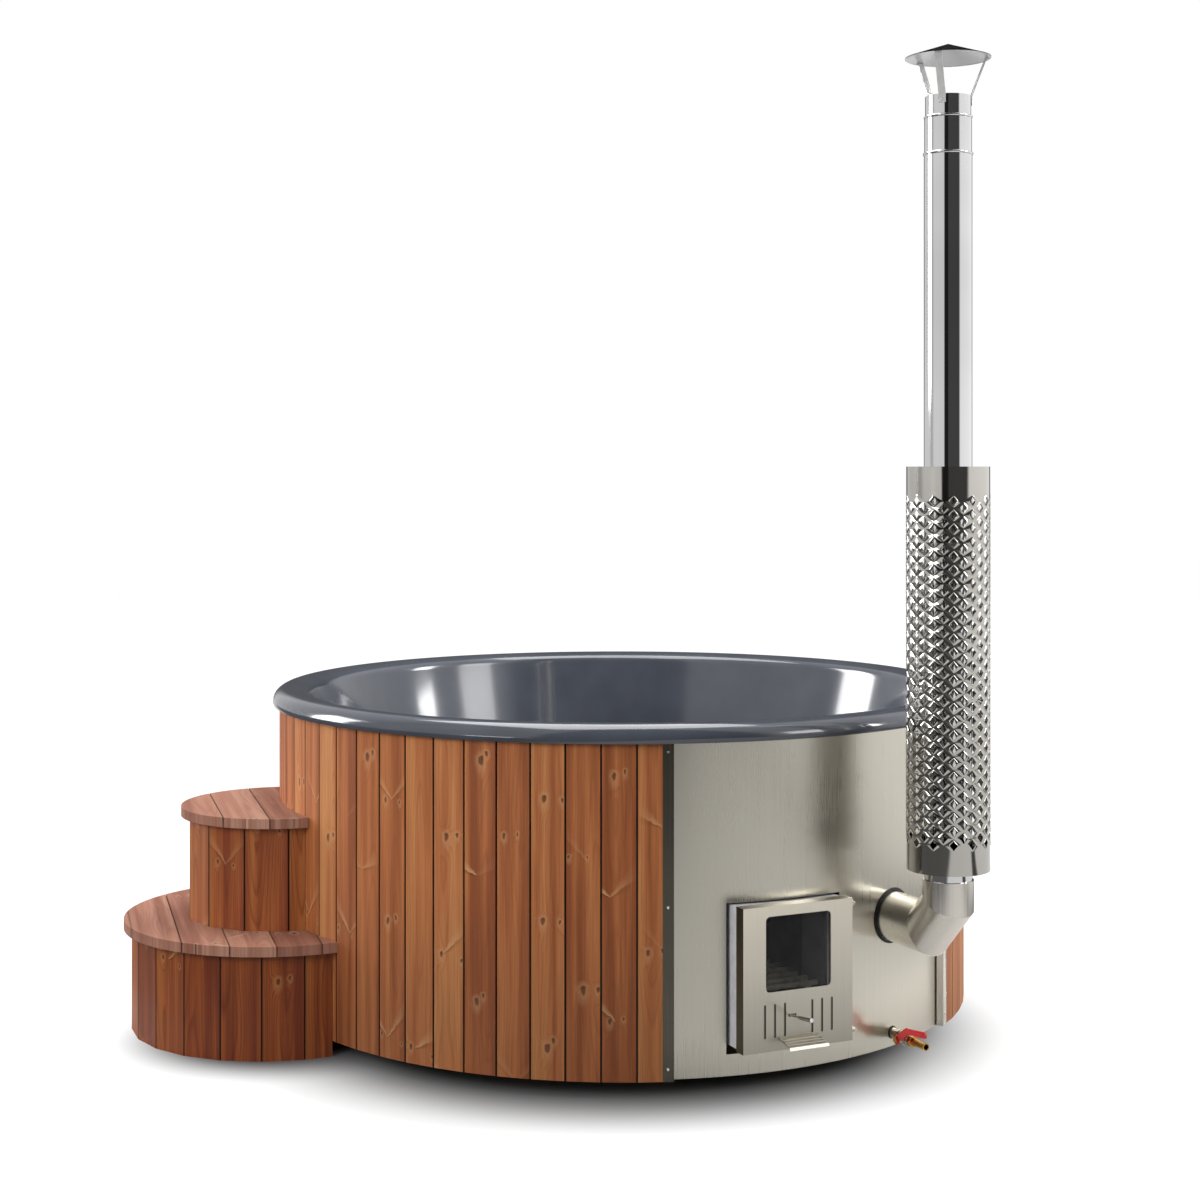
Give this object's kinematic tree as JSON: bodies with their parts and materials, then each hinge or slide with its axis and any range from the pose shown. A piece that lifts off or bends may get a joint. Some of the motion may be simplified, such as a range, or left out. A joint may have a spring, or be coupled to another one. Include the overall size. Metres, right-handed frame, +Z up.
{
  "type": "wood-fired hot tub",
  "caption": "Round wooden hot tub with moulded liner, built-in wood stove behind a steel front, outside chimney with guard, drain valve and half-round steps.",
  "frame": {"origin": "on the ground at the tub's vertical axis, on the underside of the middle floor joist", "axes": "+Z up along the tub's axis; -Y is the direction that the stove door faces; +X is to the right seen from the stove door"},
  "size_m": [2.3945, 2.2509, 2.573],
  "materials": {
    "cladding_wood": "oiled thermowood, vertical grain with knots",
    "step_wood": "red-brown stained thermowood",
    "tread_wood": "weathered red-brown thermowood",
    "frame_timber": "sawn pine and plywood",
    "gelcoat": "glossy blue-grey gelcoat on glass fibre",
    "brushed_steel": "brushed stainless sheet",
    "polished_steel": "mirror-polished stainless",
    "fire_steel": "soot-darkened steel",
    "stove_paint": "black heat-proof paint",
    "glass": "smoked heat-proof glass",
    "rope": "woven glass-fibre rope",
    "rubber": "black silicone rubber",
    "nickel": "nickel-plated brass",
    "brass": "bare turned brass",
    "red_lever": "glossy red vinyl-dipped steel",
    "white_plastic": "white moulded plastic"
  },
  "bodies": {
    "tub": {"base_joists": "frame_timber", "bottom_hoop": "frame_timber", "middle_hoop": "frame_timber", "top_hoop": "frame_timber", "wall_posts": "frame_timber", "tub_liner": "gelcoat", "cladding_1": "cladding_wood", "cladding_2": "cladding_wood", "cladding_3": "cladding_wood", "cladding_4": "cladding_wood", "front_panel": "brushed_steel", "panel_trims": "brushed_steel", "trim_screws": "polished_steel", "stove_jacket": "stove_paint", "firebox": "fire_steel", "stove_collar": "polished_steel", "fire_grate": "fire_steel", "water_ports": "polished_steel", "hinge_lugs": "brushed_steel", "hinge_pins": "polished_steel", "flue_stub": "brushed_steel", "flue_seal": "rubber", "flue_elbow": "brushed_steel", "flue_pipe_lower": "polished_steel", "flue_pipe_upper": "polished_steel", "flue_adapter": "polished_steel", "cap_collar": "polished_steel", "cap_straps": "polished_steel", "cap_cone": "polished_steel", "cap_rivets": "polished_steel", "heat_guard": "polished_steel", "guard_brackets": "polished_steel", "drain_strainer": "polished_steel", "drain_fitting": "white_plastic", "drain_pipe": "nickel", "pipe_grommet": "rubber", "valve_body": "nickel", "valve_seats": "white_plastic", "hose_tail": "brass", "step_lower_boards": "step_wood", "step_lower_frame": "frame_timber", "step_lower_tread": "tread_wood", "step_upper_boards": "step_wood", "step_upper_frame": "frame_timber", "step_upper_tread": "tread_wood"},
    "stove_door": {"door_pan": "brushed_steel", "door_glass": "glass", "glass_frame": "brushed_steel", "glass_screws": "polished_steel", "door_seal": "rope", "slide_guides": "brushed_steel", "door_pull": "brushed_steel", "hinge_leaves": "brushed_steel"},
    "air_control": {"air_slide": "brushed_steel", "air_rod": "polished_steel", "air_grip": "polished_steel"},
    "valve_handle": {"valve_ball": "nickel", "valve_stem": "brass", "valve_lever": "red_lever"}
  },
  "joints": [
    {"name": "door_swing", "type": "hinge", "parent": "tub", "child": "stove_door", "pos_m": [0.155, -0.992, 0.284], "axis": [0, 0, 1], "range_deg": [0, 100]},
    {"name": "air_slide_travel", "type": "slide", "parent": "stove_door", "child": "air_control", "axis": [1, 0, 0], "range_m": [0, 0.014]},
    {"name": "valve_turn", "type": "hinge", "parent": "tub", "child": "valve_handle", "pos_m": [0.338, -0.964, 0.075], "axis": [-1, 0, 0], "range_deg": [0, 90]}
  ]
}
